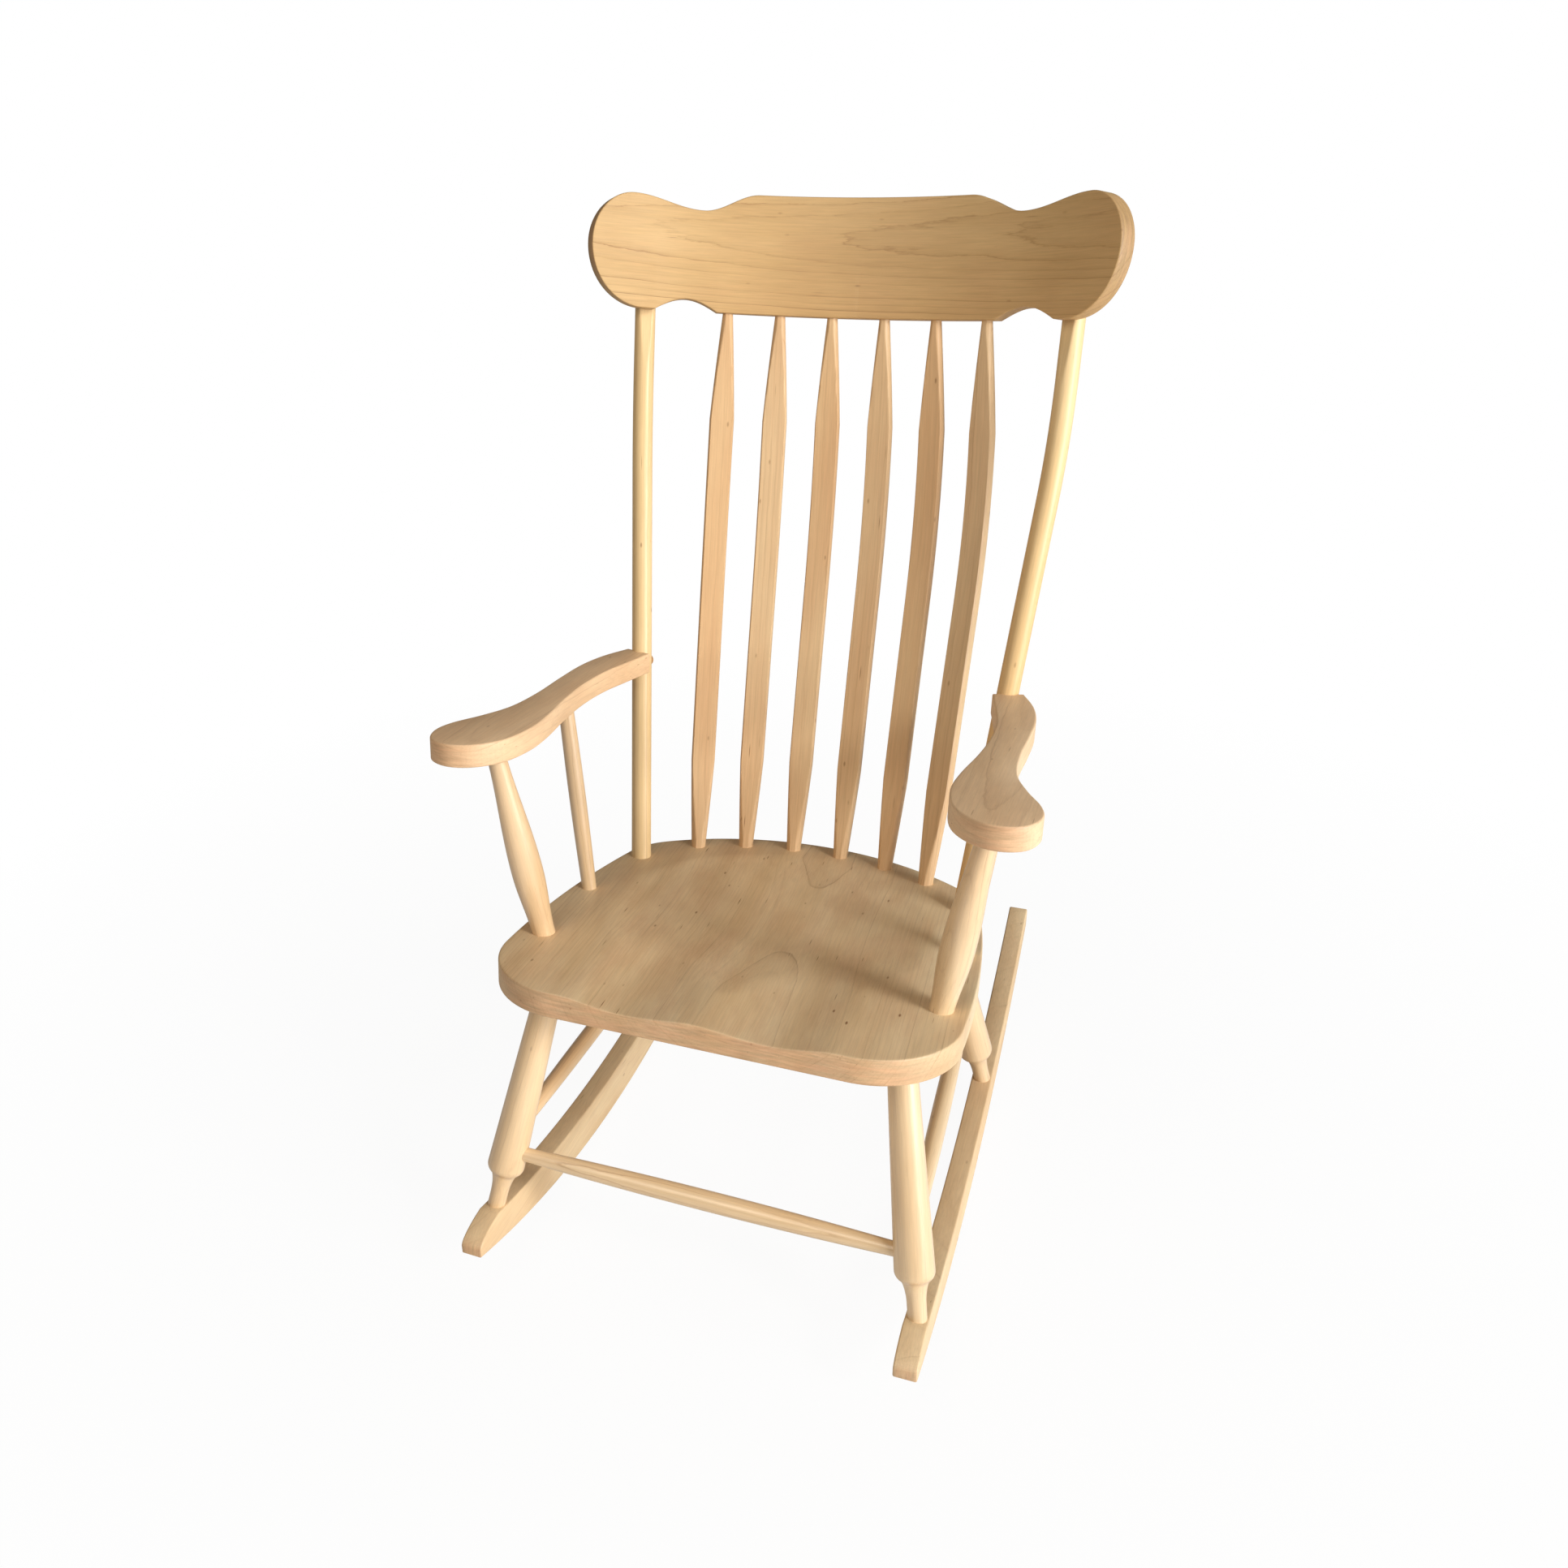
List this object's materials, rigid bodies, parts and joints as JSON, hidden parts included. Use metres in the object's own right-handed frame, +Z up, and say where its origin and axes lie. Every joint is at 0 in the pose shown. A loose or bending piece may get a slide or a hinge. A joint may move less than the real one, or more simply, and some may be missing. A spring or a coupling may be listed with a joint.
{
  "type": "boston rocker",
  "caption": "Wooden rocking chair with a saddled board seat, curved rockers, turned legs and stretchers, bent arrow-shaped back spindles, a shaped crest rail and flat scrolled arms.",
  "frame": {"origin": "on the floor, under the middle of the rockers' length and the chair's middle plane", "axes": "+Z up, the sitter faces -Y, +X to the right of a viewer who looks at the chair's front"},
  "size_m": [0.6436, 0.8624, 1.1627],
  "materials": {
    "maple_boards": "sanded, unfinished",
    "turned_maple": "turned and sanded, unfinished",
    "spindle_maple": "sanded, unfinished",
    "plug_maple": "turned, unfinished",
    "screw_steel": "plain zinc"
  },
  "bodies": {
    "root": {"seat": "maple_boards", "left_rocker": "maple_boards", "right_rocker": "maple_boards", "front_left_leg": "turned_maple", "front_right_leg": "turned_maple", "rear_left_leg": "turned_maple", "rear_right_leg": "turned_maple", "front_stretcher": "turned_maple", "rear_stretcher": "turned_maple", "left_stretcher": "turned_maple", "right_stretcher": "turned_maple", "left_back_post": "turned_maple", "right_back_post": "turned_maple", "back_spindle_1": "spindle_maple", "back_spindle_2": "spindle_maple", "back_spindle_3": "spindle_maple", "back_spindle_4": "spindle_maple", "back_spindle_5": "spindle_maple", "back_spindle_6": "spindle_maple", "crest_rail": "maple_boards", "left_arm": "maple_boards", "right_arm": "maple_boards", "left_arm_post": "turned_maple", "right_arm_post": "turned_maple", "left_arm_spindle": "turned_maple", "right_arm_spindle": "turned_maple", "arm_screws": "screw_steel", "arm_plugs": "plug_maple", "crest_screws": "screw_steel", "crest_plugs": "plug_maple"}
  },
  "joints": []
}
